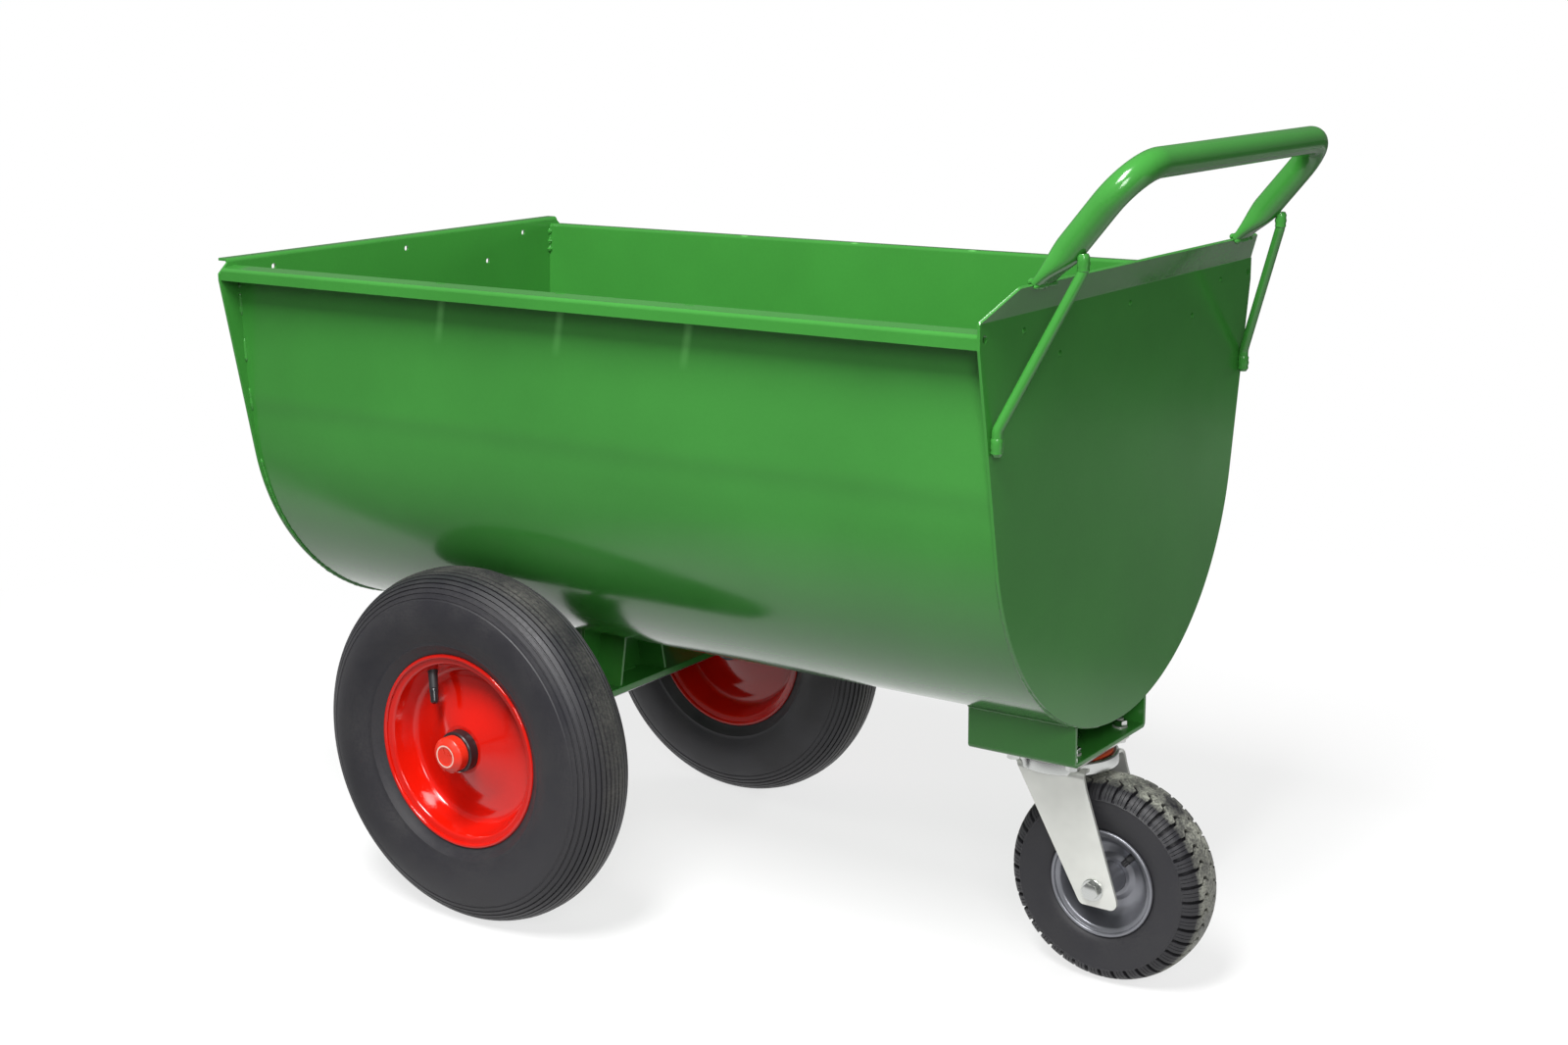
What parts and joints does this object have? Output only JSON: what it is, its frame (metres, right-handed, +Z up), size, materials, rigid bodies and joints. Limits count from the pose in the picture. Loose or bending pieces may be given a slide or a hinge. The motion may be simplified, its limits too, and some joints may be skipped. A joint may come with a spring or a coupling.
{
  "type": "feed cart",
  "caption": "Half-round sheet-steel trough cart on air-tyred wheels with a trailing swivel caster and a bent tube push handle, for carrying feed.",
  "frame": {"origin": "on the floor under the middle of the whole cart's length", "axes": "+X along the trough towards the push handle, +Y across the cart towards the right wheel, +Z up"},
  "size_m": [1.1078, 0.5996, 0.8688],
  "materials": {
    "green_paint": "glossy enamel",
    "red_paint": "glossy enamel",
    "grey_paint": "silver-grey enamel",
    "hub_black": "satin black",
    "orange_plastic": "moulded",
    "tyre_rubber": "moulded black",
    "tube_rubber": "smooth",
    "zinc": "bright zinc plated",
    "bare_steel": "machined"
  },
  "bodies": {
    "cart": {"trough_shell": "green_paint", "front_end_plate": "green_paint", "handle_end_plate": "green_paint", "push_handle": "green_paint", "handle_brace_left": "green_paint", "handle_brace_right": "green_paint", "axle_web": "green_paint", "axle_carrier_bar": "green_paint", "axle_shaft": "bare_steel", "axle_stop_collar_left": "bare_steel", "axle_stop_collar_right": "bare_steel", "cap_spring_washer_left": "zinc", "cap_spring_washer_right": "zinc", "hub_cap_left": "orange_plastic", "hub_cap_right": "orange_plastic", "caster_channel": "green_paint", "caster_top_plate": "zinc", "caster_plate_bolt_1": "zinc", "caster_plate_bolt_2": "zinc", "caster_plate_bolt_3": "zinc", "caster_plate_bolt_4": "zinc", "caster_plate_nut_1": "zinc", "caster_plate_nut_2": "zinc", "caster_plate_nut_3": "zinc", "caster_plate_nut_4": "zinc", "caster_kingpin": "zinc", "kingpin_nut": "zinc"},
    "left_wheel": {"left_tyre": "tyre_rubber", "left_inner_tube": "tube_rubber", "left_valve": "tube_rubber", "left_rim_outer_half": "red_paint", "left_rim_inner_half": "red_paint", "left_hub_sleeve": "hub_black", "left_bearing_outer": "bare_steel", "left_bearing_inner": "bare_steel"},
    "right_wheel": {"right_tyre": "tyre_rubber", "right_inner_tube": "tube_rubber", "right_valve": "tube_rubber", "right_rim_outer_half": "red_paint", "right_rim_inner_half": "red_paint", "right_hub_sleeve": "hub_black", "right_bearing_outer": "bare_steel", "right_bearing_inner": "bare_steel"},
    "caster_swivel": {"caster_seal_ring": "orange_plastic", "swivel_ball_race": "bare_steel", "caster_swivel_head": "zinc", "caster_fork": "zinc", "caster_axle_bolt": "zinc", "caster_axle_nut": "zinc", "caster_axle_spacer_left": "zinc", "caster_axle_spacer_right": "zinc"},
    "caster_wheel": {"caster_tyre": "tyre_rubber", "caster_inner_tube": "tube_rubber", "caster_valve": "tube_rubber", "caster_rim_outer_half": "grey_paint", "caster_rim_inner_half": "grey_paint", "caster_hub_sleeve": "grey_paint", "caster_bearing_outer": "bare_steel", "caster_bearing_inner": "bare_steel"}
  },
  "joints": [
    {"name": "left_wheel_spin", "type": "hinge", "parent": "cart", "child": "left_wheel", "pos_m": [-0.223, -0.2503, 0.2], "axis": [0, 1, 0], "continuous": true},
    {"name": "right_wheel_spin", "type": "hinge", "parent": "cart", "child": "right_wheel", "pos_m": [-0.223, 0.2503, 0.2], "axis": [0, 1, 0], "continuous": true},
    {"name": "caster_swivel_turn", "type": "hinge", "parent": "cart", "child": "caster_swivel", "pos_m": [0.375, 0, 0.24], "axis": [0, 0, 1], "continuous": true},
    {"name": "caster_wheel_spin", "type": "hinge", "parent": "caster_swivel", "child": "caster_wheel", "pos_m": [0.4315, 0, 0.109], "axis": [0, 1, 0], "continuous": true}
  ]
}
